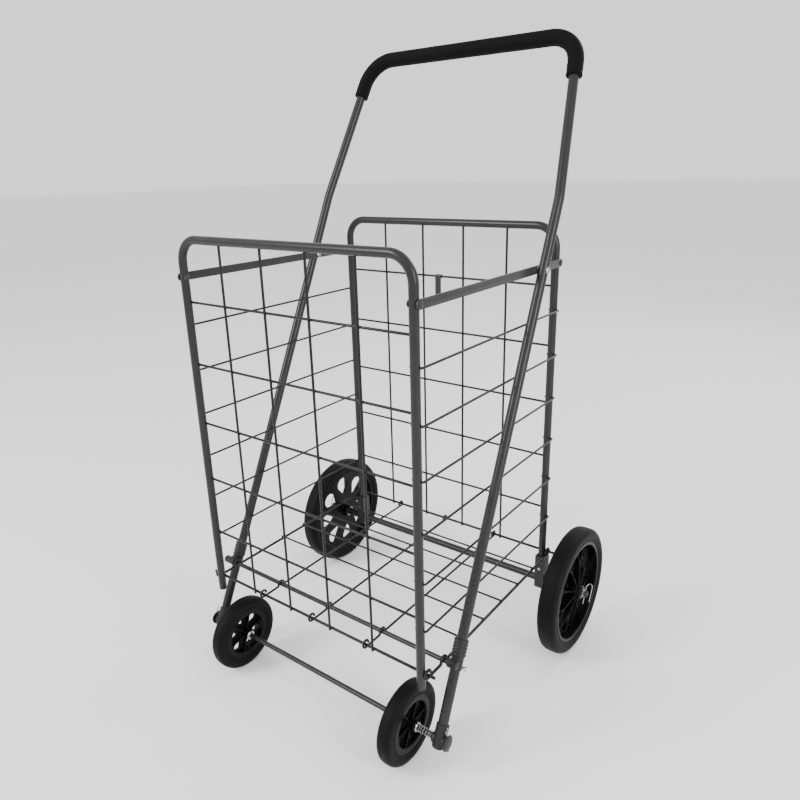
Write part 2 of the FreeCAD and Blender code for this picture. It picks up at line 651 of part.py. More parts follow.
REAR_RIM = {"rim_r": 94.0, "half": 15.0, "band_in": 88.0, "hub_r": 15.0, "hub_half": 20.9,
            "bore_r": REAR_AXLE_R + PIN_CLEARANCE, "spokes": 8, "web_at": -6.0,
            "rib_foot": -6.0, "rib_top": (12.0, -1.0),
            "ribs": [((13.0, 0.0), (49.0, 0.0)), ((48.0, 0.0), (88.8, 13.0)), ((48.0, 0.0), (88.8, -13.0)),
                     ((84.5, -12.0), (84.5, 12.0))],
            "hole_at": 64.5, "hole_half": 16.0, "hole_length": 23.5,
            "turn": {-1: -4.0, 1: 2.5}}
FRONT_RIM = {"rim_r": 46.0, "half": 11.0, "band_in": 36.0, "hub_r": 9.5, "hub_half": 18.0,
             "bore_r": FRONT_AXLE_R + PIN_CLEARANCE, "spokes": 6, "web_at": 0.0,
             "rib_foot": -8.5, "rib_top": (8.5, 8.5),
             "ribs": [((8.0, 0.0), (36.8, 0.0))],
             "hole_at": 29.0, "hole_half": 5.8, "hole_length": 9.0,
             "turn": {-1: -14.5, 1: -3.0}}


def wheel(place, side):
    if place == "rear":
        size, spot, tyre_r, tyre_half = (REAR_RIM, (side * REAR_WHEEL_X, REAR_Y, REAR_AXLE_Z),
                                         REAR_AXLE_Z, REAR_TYRE_HALF)
    else:
        size, spot, tyre_r, tyre_half = (FRONT_RIM, (side * FRONT_WHEEL_X, FRONT_AXLE_Y, FRONT_AXLE_Z),
                                         FRONT_AXLE_Z, FRONT_TYRE_HALF)
    return tyre(*spot, tyre_r, size["rim_r"], tyre_half), rim(spot, size, side, size["turn"][side])


# ---- fold latch ---------------------------------------------------------------
def latch_strap():
    """Flat strap hung on the top rear row; its lower end is bent into a hook."""
    eye_y = REAR_Y + ROW_SET_BACK
    eye_z = PANEL_ROWS[-1]
    thick = 1.6
    eye_in = PANEL_WIRE_R + PIN_CLEARANCE
    eye = ring_x(-17, -5, eye_y, eye_z, eye_in + thick, eye_in)
    front = eye_y - eye_in - thick
    strap = Part.makeBox(12, thick, 46, vec(-17, front, eye_z - 46))
    lip = Part.makeBox(12, 9, thick, vec(-17, front - 9 + thick, eye_z - 46))
    beak = Part.makeBox(12, thick, 8, vec(-17, front - 9 + thick, eye_z - 46))
    body = eye.multiFuse([strap, lip, beak])
    return body.cut(bar_x(-30, 30, eye_y, eye_z, eye_in))


# ---- write every node ---------------------------------------------------------
def main():
    os.makedirs("parts", exist_ok=True)
    for place, plane_y in (("front", FRONT_Y), ("rear", REAR_Y)):
        save(place + "_frame_tube", frame_tube(plane_y))
        save(place + "_wires", panel_wires(plane_y))
        save(place + "_tube_plugs", tube_plugs(plane_y))
        save(place + "_pivot_rivets", pivot_rivets(plane_y))
    for name, side in SIDES.items():
        save("link_bar_" + name, link_bar(side))
        save("axle_bracket_" + name, axle_bracket(side))
    for number, row_z in enumerate(SIDE_ROWS, start=1):
        save("side_wires_%d" % number, side_wires(row_z))
    long_wires = floor_long_wires()
    save("floor_long_wires", long_wires)
    save("floor_cross_wires", floor_cross_wires(long_wires))

    tube = tube_outer()
    drilled = handle_tube().cut(sleeve_pins())
    save("handle_tube", drilled)
    save("foam_grip", foam_grip())
    save("handle_bolts", handle_bolts(drilled))
    save("handle_spacers", handle_spacers(tube))
    save("cross_rod", cross_rod())
    save("sleeve_pins", sleeve_pins())
    for name, side in SIDES.items():
        save("rod_sleeve_" + name, rod_sleeve(side, tube))
        save("foot_boot_" + name, foot_boot(side))
    save("front_axle", front_axle())
    save("front_axle_caps", front_axle_caps())
    save("front_cotters", front_cotters())
    save("front_springs", front_springs())
    save("front_washers", front_washers())

    save("bracket_rivets", bracket_rivets())
    save("rear_axle", rear_axle())
    save("rear_cross_tube", rear_cross_tube())
    save("rear_spacers", rear_spacers())
    save("rear_washers", rear_washers())
    save("rear_clips", rear_clips())
    save("rear_axle_caps", rear_axle_caps())
    for place in ("front", "rear"):
        for name, side in SIDES.items():
            tread, centre = wheel(place, side)
            save("%s_tyre_%s" % (place, name), tread)
            save("%s_rim_%s" % (place, name), centre)
    save("latch_strap", latch_strap())


main()
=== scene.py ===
"""Looks for the folding rolling basket trolley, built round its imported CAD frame.

Lengths in this script are millimetres, turned into metres by MM when a mesh is made.
"""

import json
import math

import bmesh
import bpy
from mathutils import Matrix, Vector, noise


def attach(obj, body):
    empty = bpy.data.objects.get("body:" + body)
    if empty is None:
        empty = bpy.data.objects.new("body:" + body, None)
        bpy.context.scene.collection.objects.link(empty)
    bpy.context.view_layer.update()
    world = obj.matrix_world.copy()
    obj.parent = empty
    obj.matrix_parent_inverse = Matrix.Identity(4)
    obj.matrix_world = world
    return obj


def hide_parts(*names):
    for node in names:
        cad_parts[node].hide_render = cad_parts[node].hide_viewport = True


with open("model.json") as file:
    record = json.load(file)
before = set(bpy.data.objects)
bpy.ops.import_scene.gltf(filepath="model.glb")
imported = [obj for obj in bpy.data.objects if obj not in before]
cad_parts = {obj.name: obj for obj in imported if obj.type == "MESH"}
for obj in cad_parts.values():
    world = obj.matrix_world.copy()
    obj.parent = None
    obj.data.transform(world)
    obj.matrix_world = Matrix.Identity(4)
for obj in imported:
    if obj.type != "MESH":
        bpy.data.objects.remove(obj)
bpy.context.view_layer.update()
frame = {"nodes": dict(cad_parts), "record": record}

MM = 0.001
SIDES = {"left": -1, "right": 1}
SLOT_OF = {row["node"]: row["material_slot"] for row in frame["record"]["subparts"]}

# ---- driving dimensions, the same as the CAD frame's ----------------------------
HALF_BASKET = 220.0
FRONT_Y = -230.0
REAR_Y = 170.0
PANEL_TOP = 776.0
TUBE_FOOT = 153.0
TUBE_R = 6.75
TUBE_WALL = 1.2
HOOP_BEND = 36.0
PANEL_WIRE_R = 2.0
PANEL_UPRIGHTS = (-130.5, -43.5, 43.5, 130.5)
PANEL_ROWS = (268.0, 370.5, 473.0, 575.5, 678.0)
BASE_WIRE_R = 2.4
BASE_WIRE_Z = 177.6
ROW_SET_BACK = 3.4
BASE_SET_BACK = 3.9
BASE_REACH = 242.0
SIDE_WIRE_R = 1.8
SIDE_ROWS = (253.5, 330.5, 407.5, 484.5, 561.5, 638.5)
SIDE_WIRE_BEND = 3.0
LINK_Z = 717.5
LINK_THICK = 3.0
LINK_GAP = 0.3
HANDLE_R = 8.0
HANDLE_LEAN = math.radians(25.13)
FRONT_AXLE_Y = -221.5
FRONT_AXLE_Z = 66.0
FRONT_CAP_X = 258.9
FOOT_X = 246.0
BEND_X = 238.0
TOP_X = 208.0
BEND_Z = 822.0
GRIP_END_Z = 1000.0
HANDLE_TOP_Z = 1064.0
HANDLE_BEND = 90.0
HANDLE_CORNER = 52.0
GRIP_R = 13.0
ROD_R = 3.75
ROD_Y = -184.5
ROD_Z = 175.3
SOCKET_R = 6.6
SOCKET_MOUTH = {-1: 261.0, 1: 253.5}
SLEEVE_R = 9.6
SLEEVE_FOOT = 161.0
SLEEVE_TOP = 203.0
FLOOR_WIRE_R = 2.0
FLOOR_EDGE_R = 2.45
FLOOR_LONG = (-114.0, 0.0, 114.0)
FLOOR_EDGE_X = 229.5
FLOOR_CROSS = (-127.5, -68.5, -9.5, 49.5, 108.5)
FLOOR_CROSS_R = 1.75
EYE_GAP = 0.45
EYE_RISE = 1.1
HUMP_GAP = 0.4
HOOK_ANGLE = 130.0
HOOK_TAIL = 8.0
BOOT_R = 9.9
REAR_AXLE_Z = 117.5
REAR_WHEEL_X = 282.0
REAR_CAP_X = 309.4
FRONT_WHEEL_X = 186.4

# ---- how meshes are made --------------------------------------------------------
AXIS_R = 0.01
SAME_POINT = 1e-4
LONGEST_RUN = 60.0
SMALL_MOULDING = {"voxel": 0.55, "rounds": 4, "keep": 0.5}


# ---- points and paths -------------------------------------------------------------
def vec(x, y, z):
    return Vector((x, y, z))


def bent_path(points, radii, turn=6.0):
    """Straight runs joined by tangent arcs, one arc radius for each inner point."""
    path = [points[0]]
    for before, corner, after, radius in zip(points, points[1:], points[2:], radii):
        ahead = (corner - before).normalized()
        leave = (after - corner).normalized()
        angle = ahead.angle(leave)
        axis = ahead.cross(leave).normalized()
        start = corner - ahead * radius * math.tan(angle / 2)
        centre = start + axis.cross(ahead) * radius
        steps = max(2, math.ceil(math.degrees(angle) / turn))
        for k in range(steps + 1):
            path.append(centre + Matrix.Rotation(angle * k / steps, 3, axis) @ (start - centre))
    path.append(points[-1])
    return path


def arc_yz(x, y, z, radius, start, end, turn=10.0):
    """Points on an arc in a plane of constant X, angles in degrees from +Y towards +Z."""
    steps = max(2, math.ceil(abs(end - start) / turn))
    angles = [math.radians(start + (end - start) * k / steps) for k in range(steps + 1)]
    return [vec(x, y + radius * math.cos(a), z + radius * math.sin(a)) for a in angles]


def spaced(path, longest):
    """The same path with no run longer than the given length."""
    out = [path[0]]
    for a, b in zip(path, path[1:]):
        count = max(1, math.ceil((b - a).length / longest))
        out += [a.lerp(b, k / count) for k in range(1, count + 1)]
    return out


def distances(path):
    total = [0.0]
    for a, b in zip(path, path[1:]):
        total.append(total[-1] + (b - a).length)
    return total


# ---- mesh data as (vertices, faces) -------------------------------------------------
def merged(parts):
    verts, faces = [], []
    for part_verts, part_faces in parts:
        base = len(verts)
        verts += part_verts
        faces += [[i + base for i in face] for face in part_faces]
    return verts, faces


def swept(path, radius, sides=20, edge=0.25):
    """Closed tube along a path. radius is a number or a function of the distance along it;
    edge is how much of the radius is rounded off at each end."""
    clean = [path[0]]
    for p in path[1:]:
        if (p - clean[-1]).length > SAME_POINT:
            clean.append(p)
    along = distances(clean)
    size = radius if callable(radius) else (lambda d: radius)
    tangents = []
    for i in range(len(clean)):
        a, b = clean[max(i - 1, 0)], clean[min(i + 1, len(clean) - 1)]
        tangents.append((b - a).normalized())
    side = tangents[0].orthogonal().normalized()
    rings = []
    for i, (point, ahead) in enumerate(zip(clean, tangents)):
        side = (side - ahead * side.dot(ahead)).normalized()
        rings.append((point, ahead, side, size(along[i])))
    rings = round_end(rings[0], edge, -1)[::-1] + rings[1:-1] + round_end(rings[-1], edge, 1)
    verts = []
    for point, ahead, across, r in rings:
        up = ahead.cross(across)
        for k in range(sides):
            a = 2 * math.pi * k / sides
            verts.append(point + (across * math.cos(a) + up * math.sin(a)) * r)
    faces = []
    for i in range(len(rings) - 1):
        for k in range(sides):
            j = (k + 1) % sides
            faces.append([i * sides + k, i * sides + j, (i + 1) * sides + j, (i + 1) * sides + k])
    faces.append(list(range(sides))[::-1])
    faces.append([(len(rings) - 1) * sides + k for k in range(sides)])
    return verts, faces


def round_end(ring, edge, direction):
    """The last rings at one end of a tube, rounded over inside the tube's length."""
    point, ahead, side, r = ring
    fillet = edge * r
    out = []
    for k in range(4):
        a = math.radians(30 * k)
        back = fillet * (1 - math.sin(a))
        out.append((point - ahead * direction * back, ahead, side, r - fillet * (1 - math.cos(a))))
    return out


def lathe(profile, x, y, z, segments):
    """Closed profile of (offset along X, radius) turned about an X axis."""
    count = len(profile)
    verts = []
    for k in range(segments):
        a = 2 * math.pi * k / segments
        verts += [vec(x + u, y + r * math.sin(a), z + r * math.cos(a)) for u, r in profile]
    faces = []
    for k in range(segments):
        n = (k + 1) % segments
        for i in range(count):
            j = (i + 1) % count
            faces.append([k * count + i, k * count + j, n * count + j, n * count + i])
    return verts, faces


def softened(profile, radius, turn=22.5):
    """A closed (offset, radius) outline with its corners rounded."""
    ring = [vec(u, r, 0) for u, r in profile]
    out = []
    for i, corner in enumerate(ring):
        before, after = ring[i - 1], ring[(i + 1) % len(ring)]
        reach = min((corner - before).length, (after - corner).length) * 0.45
        angle = (corner - before).angle(after - corner)
        if angle < math.radians(4):
            out.append((corner.x, corner.y))
            continue
        fit = min(radius, reach / math.tan(angle / 2))
        arc = bent_path([before.lerp(corner, 0.5), corner, corner.lerp(after, 0.5)], [fit], turn)
        out += [(p.x, p.y) for p in arc[1:-1]]
    return out


def dome(x, y, z, radius, height, direction, segments=28):
    """Domed head on a face at x that looks along direction."""
    foot, skirt, crown = 0.97, 0.12, 0.88
    profile = [(0, AXIS_R), (0, radius * foot), (skirt * height, radius)]
    for k in range(1, 7):
        a = math.radians(15 * k)
        profile.append((height * (skirt + crown * math.sin(a)), max(AXIS_R, radius * math.cos(a))))
    return lathe([(u * direction, r) for u, r in profile], x, y, z, segments)


def blob(centre, size, rows=8, columns=12):
    """Ellipsoid, used for weld nuggets."""
    verts = [centre + vec(0, 0, size.z)]
    for i in range(1, rows):
        a = math.pi * i / rows
        for k in range(columns):
            b = 2 * math.pi * k / columns
            verts.append(centre + vec(size.x * math.sin(a) * math.cos(b),
                                      size.y * math.sin(a) * math.sin(b), size.z * math.cos(a)))
    verts.append(centre - vec(0, 0, size.z))
    faces = []
    for k in range(columns):
        n = (k + 1) % columns
        faces.append([0, 1 + k, 1 + n])
        faces += [[1 + i * columns + k, 1 + (i + 1) * columns + k, 1 + (i + 1) * columns + n,
                   1 + i * columns + n] for i in range(rows - 2)]
        base = 1 + (rows - 2) * columns
        faces.append([len(verts) - 1, base + n, base + k])
    return verts, faces


def prism(outline, low, high):
    """Outline of points pushed from offset low to offset high along X."""
    count = len(outline)
    verts = [p + vec(low, 0, 0) for p in outline] + [p + vec(high, 0, 0) for p in outline]
    faces = [list(range(count))[::-1], list(range(count, 2 * count))]
    faces += [[k, (k + 1) % count, count + (k + 1) % count, count + k] for k in range(count)]
    return verts, faces


# ---- Blender objects ----------------------------------------------------------------
def new_object(name, data):
    verts, faces = data
    mesh = bpy.data.meshes.new(name)
    mesh.from_pydata([v * MM for v in verts], [], faces)
    mesh.validate()
    obj = bpy.data.objects.new(name, mesh)
    bpy.context.scene.collection.objects.link(obj)
    fix_normals(obj)
    return obj


def fix_normals(obj):
    shape = bmesh.new()
    shape.from_mesh(obj.data)
    bmesh.ops.recalc_face_normals(shape, faces=shape.faces)
    shape.to_mesh(obj.data)
    shape.free()


def finish_piece(obj, body, slot, nodes, sharp=40.0):
    obj.data.shade_smooth()
    if sharp:
        obj.data.set_sharp_from_angle(angle=math.radians(sharp))
    obj.data.materials.clear()
    obj.data.materials.append(MATERIALS[slot])
    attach(obj, body)
    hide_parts(*nodes)


def piece(name, data, body, slot, nodes, sharp=40.0):
    finish_piece(new_object(name, data), body, slot, nodes, sharp)


def apply_modifiers(obj):
    bpy.context.view_layer.update()
    graph = bpy.context.evaluated_depsgraph_get()
    mesh = bpy.data.meshes.new_from_object(obj.evaluated_get(graph))
    old = obj.data
    obj.modifiers.clear()
    obj.data = mesh
    bpy.data.meshes.remove(old)


def discard(obj):
    mesh = obj.data
    bpy.data.objects.remove(obj)
    bpy.data.meshes.remove(mesh)


def moulded(name, parts, voxel, rounds, keep):
    """One skin over overlapping closed parts, with small fillets where they meet."""
    obj = new_object(name, merged(parts))
    remesh = obj.modifiers.new("skin", "REMESH")
    remesh.mode = "VOXEL"
    remesh.voxel_size = voxel * MM
    smooth = obj.modifiers.new("fillets", "SMOOTH")
    smooth.factor = 0.5
    smooth.iterations = rounds
    fewer = obj.modifiers.new("fewer", "DECIMATE")
    fewer.ratio = keep
    apply_modifiers(obj)
    return obj


def cut(data, cutters):
    """Mesh data with the cutters taken away by an exact boolean."""
    obj = new_object("to_cut", data)
    tool = new_object("cutter", merged(cutters))
    step = obj.modifiers.new("cut", "BOOLEAN")
    step.operation = "DIFFERENCE"
    step.solver = "EXACT"
    step.object = tool
    apply_modifiers(obj)
    verts = [v.co / MM for v in obj.data.vertices]
    faces = [list(p.vertices) for p in obj.data.polygons]
    discard(obj)
    discard(tool)
    return verts, faces


# ---- materials -----------------------------------------------------------------------
def scaled(color, factor):
    return tuple(min(1.0, c * factor) for c in color)


class Nodes:
    """Small helper round one material's node tree. Bump distances are metres."""

    def __init__(self, name):
        self.material = bpy.data.materials.new(name)
        self.material.use_nodes = True
        self.tree = self.material.node_tree
        self.shader = self.tree.nodes["Principled BSDF"]
        self.coords = self.tree.nodes.new("ShaderNodeTexCoord").outputs["Object"]

    def add(self, kind):
        return self.tree.nodes.new(kind)

    def link(self, source, target):
        self.tree.links.new(source, target)

    def drive(self, source, name):
        self.link(source, self.shader.inputs[name])

    def fix(self, name, value):
        self.shader.inputs[name].default_value = value

    def noise(self, scale, detail, roughness=0.5):
        node = self.add("ShaderNodeTexNoise")
        node.inputs["Scale"].default_value = scale
        node.inputs["Detail"].default_value = detail
        node.inputs["Roughness"].default_value = roughness
        self.link(self.coords, node.inputs["Vector"])
        return node.outputs["Fac"]

    def cells(self, scale):
        node = self.add("ShaderNodeTexVoronoi")
        node.inputs["Scale"].default_value = scale
        self.link(self.coords, node.inputs["Vector"])
        return node.outputs["Distance"]

    def ramp(self, source, stops):
        node = self.add("ShaderNodeValToRGB")
        for element, (place, color) in zip(node.color_ramp.elements, stops):
            element.position = place
            element.color = (*color, 1.0)
        self.link(source, node.inputs["Fac"])
        return node.outputs["Color"]

    def spread(self, source, low, high):
        node = self.add("ShaderNodeMapRange")
        node.inputs["To Min"].default_value = low
        node.inputs["To Max"].default_value = high
        self.link(source, node.inputs["Value"])
        return node.outputs["Result"]

    def bump(self, source, distance, strength, after=None):
        node = self.add("ShaderNodeBump")
        node.inputs["Strength"].default_value = strength
        node.inputs["Distance"].default_value = distance
        self.link(source, node.inputs["Height"])
        if after is not None:
            self.link(after, node.inputs["Normal"])
        return node.outputs["Normal"]

    def mottle(self, cloud, color, dark, pale, pale_at=0.7):
        """Base colour that drifts between two shades."""
        stops = [(0.3, scaled(color, dark)), (pale_at, scaled(color, pale))]
        self.drive(self.ramp(cloud, stops), "Base Color")

    def uneven_gloss(self, scale, low, high):
        """Roughness that drifts between two values."""
        self.drive(self.spread(self.noise(scale, 3.0), low, high), "Roughness")


def powder_coat(name, color, roughness, shine):
    """Satin powder coat: faint orange peel, slight mottling."""
    n = Nodes(name)
    n.mottle(n.noise(38.0, 4.0), color, dark=0.88, pale=1.10)
    n.uneven_gloss(160.0, roughness - 0.05, roughness + 0.07)
    n.drive(n.bump(n.noise(900.0, 2.0), distance=0.00003, strength=0.16), "Normal")
    n.fix("Specular IOR Level", shine)
    return n.material


def zinc_plate(name, color):
    n = Nodes(name)
    n.mottle(n.noise(220.0, 4.0), color, dark=0.82, pale=1.12)
    n.uneven_gloss(600.0, 0.18, 0.36)
    n.drive(n.bump(n.noise(2600.0, 2.0), distance=0.00003, strength=0.4), "Normal")
    n.fix("Metallic", 1.0)
    return n.material


def foam_skin(name, color):
    """Closed-cell foam: matt skin, fine pores and slow dents."""
    n = Nodes(name)
    n.mottle(n.noise(60.0, 5.0), color, dark=0.8, pale=1.5, pale_at=0.75)
    n.uneven_gloss(700.0, 0.62, 0.82)
    slow = n.bump(n.noise(70.0, 2.0), distance=0.0003, strength=0.2)
    n.drive(n.bump(n.cells(1500.0), distance=0.00008, strength=0.2, after=slow), "Normal")
    n.fix("Specular IOR Level", 0.08)
    return n.material


def moulded_plastic(name, color, roughness, shine):
    """Spark-eroded moulding: fine even grain and faint flow marks."""
    n = Nodes(name)
    n.mottle(n.noise(45.0, 3.0), color, dark=0.85, pale=1.2)
    n.uneven_gloss(300.0, roughness - 0.06, roughness + 0.08)
    n.drive(n.bump(n.noise(1400.0, 2.0), distance=0.00005, strength=0.22), "Normal")
    n.fix("Specular IOR Level", shine)
    return n.material


def tyre_rubber(name, color):
    """Matt rubber with a dusty cast and mould grain."""
    n = Nodes(name)
    n.mottle(n.noise(24.0, 6.0, 0.6), color, dark=0.85, pale=1.7, pale_at=0.75)
    n.uneven_gloss(420.0, 0.48, 0.68)
    n.drive(n.bump(n.noise(1300.0, 3.0), distance=0.00010, strength=0.5), "Normal")
    n.fix("Specular IOR Level", 0.10)
    return n.material


MATERIALS = {
    "tube_paint": powder_coat("tube_paint", (0.017, 0.0173, 0.017), 0.27, 0.22),
    "wire_paint": powder_coat("wire_paint", (0.012, 0.012, 0.0116), 0.27, 0.15),
    "link_paint": powder_coat("link_paint", (0.025, 0.0255, 0.025), 0.30, 0.20),
    "zinc": zinc_plate("zinc", (0.33, 0.334, 0.345)),
    "foam": foam_skin("foam", (0.0022, 0.0022, 0.0021)),
    "moulding": moulded_plastic("moulding", (0.0165, 0.0168, 0.0165), 0.38, 0.18),
    "rim_plastic": moulded_plastic("rim_plastic", (0.0022, 0.0022, 0.0023), 0.30, 0.10),
    "tyre": tyre_rubber("tyre", (0.0015, 0.0016, 0.0015)),
}


def dress_cad_nodes():
    """Every CAD node, carried over or replaced, gets its slot's material."""
    for node, obj in frame["nodes"].items():
        material = MATERIALS[SLOT_OF[node]]
        if obj.material_slots:
            for entry in obj.material_slots:
                entry.material = material
        else:
            obj.data.materials.append(material)


# ---- basket panels -------------------------------------------------------------------
WIRE_SINK = 1.0
TOP_WELD = vec(2.7, 2.7, 1.5)
TOP_WELD_BACK, TOP_WELD_LIFT = 0.6, 0.2
BASE_WELD = vec(3.0, 1.6, 2.3)
BASE_WELD_BACK = 2.0
ROW_WELD = vec(2.6, 1.5, 2.6)
ROW_WELD_BACK = 1.7
EDGE_WELD = vec(1.5, 2.6, 2.6)
PLUG_CLEAR = 0.05
PLUG_HEAD = 2.5
PLUG_DEPTH = 3.2
RIVET_PIN_R = 2.5
RIVET_SEAT = 0.15
RIVET_HEAD = {"radius": 4.8, "height": 1.5}
RIVET_HEAD_SINK = 0.3
RIVET_BUTTON = {"radius": 5.5, "height": 4.2}
RIVET_BUTTON_STAND = 1.2


def frame_tube(name, plane_y, body, node):
    corners = [vec(-HALF_BASKET, plane_y, TUBE_FOOT), vec(-HALF_BASKET, plane_y, PANEL_TOP),
               vec(HALF_BASKET, plane_y, PANEL_TOP), vec(HALF_BASKET, plane_y, TUBE_FOOT)]
    path = spaced(bent_path(corners, [HOOP_BEND, HOOP_BEND], turn=3.0), LONGEST_RUN)
    piece(name, swept(path, TUBE_R, sides=40, edge=0.06), body, "tube_paint", [node])


def straight(x0, x1, y, z, radius, sides=18):
    return swept([vec(x0, y, z), vec(x1, y, z)], radius, sides)


def panel_grid(name, plane_y, body, node):
    """Uprights in the tube plane, rows behind them, a weld nugget at every crossing."""
    row_y = plane_y + ROW_SET_BACK
    reach = HALF_BASKET - math.sqrt(TUBE_R ** 2 - ROW_SET_BACK ** 2)
    parts = [straight(-reach - WIRE_SINK, reach + WIRE_SINK, row_y, z, PANEL_WIRE_R)
             for z in PANEL_ROWS]
    base_y = plane_y + BASE_SET_BACK
    parts.append(straight(-BASE_REACH, BASE_REACH, base_y, BASE_WIRE_Z, BASE_WIRE_R, 20))
    for x in PANEL_UPRIGHTS:
        low = vec(x, plane_y, BASE_WIRE_Z - BASE_WIRE_R)
        high = vec(x, plane_y, PANEL_TOP - TUBE_R + WIRE_SINK)
        parts.append(swept([low, high], PANEL_WIRE_R, sides=18, edge=0.5))
        top = vec(x, plane_y + TOP_WELD_BACK, PANEL_TOP - TUBE_R + TOP_WELD_LIFT)
        parts.append(blob(top, TOP_WELD))
        parts.append(blob(vec(x, plane_y + BASE_WELD_BACK, BASE_WIRE_Z), BASE_WELD))
        parts += [blob(vec(x, plane_y + ROW_WELD_BACK, z), ROW_WELD) for z in PANEL_ROWS]
    for side in (-1, 1):
        parts += [blob(vec(side * reach, row_y, z), EDGE_WELD) for z in PANEL_ROWS]
    piece(name, merged(parts), body, "wire_paint", [node], 60)


def tube_plugs(name, plane_y, body, node):
    parts = []
    for side in (-1, 1):
        shank = TUBE_R - TUBE_WALL - PLUG_CLEAR
        end = [(0, AXIS_R), (0, TUBE_R - 1.8), (0.5, TUBE_R - 0.7), (1.5, TUBE_R - 0.1),
               (PLUG_HEAD, TUBE_R), (PLUG_HEAD, shank), (PLUG_DEPTH, shank), (PLUG_DEPTH, AXIS_R)]
        verts, faces = lathe(end, 0, 0, 0, 36)
        foot = vec(side * HALF_BASKET, plane_y, TUBE_FOOT - PLUG_HEAD)
        parts.append(([foot + vec(v.y, v.z, v.x) for v in verts], faces))
    piece(name, merged(parts), body, "moulding", [node])


def pivot_rivets(name, plane_y, body, node):
    inner = HALF_BASKET - TUBE_R
    outer = HALF_BASKET + TUBE_R + LINK_GAP + LINK_THICK + RIVET_SEAT
    parts = []
    for side in (-1, 1):
        button_x = side * (inner + RIVET_BUTTON_STAND)
        pin_end = side * (outer + RIVET_HEAD_SINK)
        parts.append(dome(side * outer, plane_y, LINK_Z, direction=side, **RIVET_HEAD))
        parts.append(dome(button_x, plane_y, LINK_Z, direction=-side, **RIVET_BUTTON))
        parts.append(straight(side * inner, pin_end, plane_y, LINK_Z, RIVET_PIN_R, sides=24))
    piece(name, merged(parts), body, "link_paint", [node])


# ---- folding links ---------------------------------------------------------------------
LINK_HALF = 6.5
LINK_BEVEL = 0.6
SIDE_WIRE_CLEAR = 0.05
SIDE_WIRE_TAIL = 1.5


def link_bar(side_name):
    side = SIDES[side_name]
    outline = (arc_yz(0, REAR_Y, LINK_Z, LINK_HALF, -90, 90)
               + arc_yz(0, FRONT_Y, LINK_Z, LINK_HALF, 90, 270))
    inner = HALF_BASKET + TUBE_R + LINK_GAP
    low, high = sorted((side * inner, side * (inner + LINK_THICK)))
    obj = new_object("link_bar_%s_plate" % side_name, prism(outline, low, high))
    bevel = obj.modifiers.new("bevel", "BEVEL")
    bevel.width = LINK_BEVEL * MM
    bevel.segments = 3
    apply_modifiers(obj)
    finish_piece(obj, "link_bars", "link_paint", ["link_bar_" + side_name])


def side_wire_pair(number, z):
    x = HALF_BASKET + TUBE_R + SIDE_WIRE_BEND + SIDE_WIRE_CLEAR
    pin = HALF_BASKET - TUBE_R - SIDE_WIRE_TAIL
    parts = []
    for side in (-1, 1):
        points = [vec(side * pin, FRONT_Y, z), vec(side * x, FRONT_Y, z),
                  vec(side * x, REAR_Y, z), vec(side * pin, REAR_Y, z)]
        path = bent_path(points, [SIDE_WIRE_BEND, SIDE_WIRE_BEND], turn=12)
        parts.append(swept(path, SIDE_WIRE_R, sides=16))
    body = "side_wire_pair_%d" % number
    node = "side_wires_%d" % number
    piece("side_wire_%d" % number, merged(parts), body, "wire_paint", [node], 60)


# ---- basket floor ----------------------------------------------------------------------
HUMP_TOE_R = 3.0
FLOOR_WELD_R = 2.4
FLOOR_WELD_HALF = 1.4
SLAT_SINK = 0.1
SLAT_SHORT = 0.3


def floor_wire_path(x, radius):
    """Eye on the front base wire, hump over the cross rod, hook round the rear base wire."""
    eye_r = BASE_WIRE_R + radius + EYE_GAP
    front_y = FRONT_Y + BASE_SET_BACK
    rear_y = REAR_Y + BASE_SET_BACK
    level = BASE_WIRE_Z - eye_r
    hump_r = ROD_R + HUMP_GAP + radius
    toe_z = level + HUMP_TOE_R
    lift = ROD_Z - toe_z
    spread = math.sqrt((hump_r + HUMP_TOE_R) ** 2 - lift ** 2)
    turn = math.degrees(math.asin(lift / (hump_r + HUMP_TOE_R)))
    path = arc_yz(x, front_y, BASE_WIRE_Z + EYE_RISE, eye_r + EYE_RISE, -5, 270)
    path += arc_yz(x, ROD_Y - spread, toe_z, HUMP_TOE_R, -90, turn)
    path += arc_yz(x, ROD_Y, ROD_Z, hump_r, 180 + turn, -turn)
    path += arc_yz(x, ROD_Y + spread, toe_z, HUMP_TOE_R, 180 - turn, 270)
    path += arc_yz(x, rear_y, BASE_WIRE_Z, eye_r, -90, HOOK_ANGLE)
    tip = math.radians(HOOK_ANGLE)
    path.append(path[-1] + vec(0, -math.sin(tip), math.cos(tip)) * HOOK_TAIL)
    return path


def floor():
    wires = [(x, FLOOR_WIRE_R) for x in FLOOR_LONG]
    wires += [(side * FLOOR_EDGE_X, FLOOR_EDGE_R) for side in (-1, 1)]
    long_parts = [swept(floor_wire_path(x, r), r, 20) for x, r in wires]
    piece("floor_runners", merged(long_parts), "floor_panel", "wire_paint", ["floor_long_wires"], 60)
    level = BASE_WIRE_Z - (BASE_WIRE_R + FLOOR_WIRE_R + EYE_GAP)
    z = level + FLOOR_WIRE_R + FLOOR_CROSS_R - SLAT_SINK
    reach = FLOOR_EDGE_X + FLOOR_EDGE_R - SLAT_SHORT
    cross = [straight(-reach, reach, y, z, FLOOR_CROSS_R, sides=16) for y in FLOOR_CROSS]
    weld = vec(FLOOR_WELD_R, FLOOR_WELD_R, FLOOR_WELD_HALF)
    cross += [blob(vec(x, y, z - FLOOR_WELD_HALF), weld) for y in FLOOR_CROSS for x, r in wires]
    piece("floor_slats", merged(cross), "floor_panel", "wire_paint", ["floor_cross_wires"], 60)


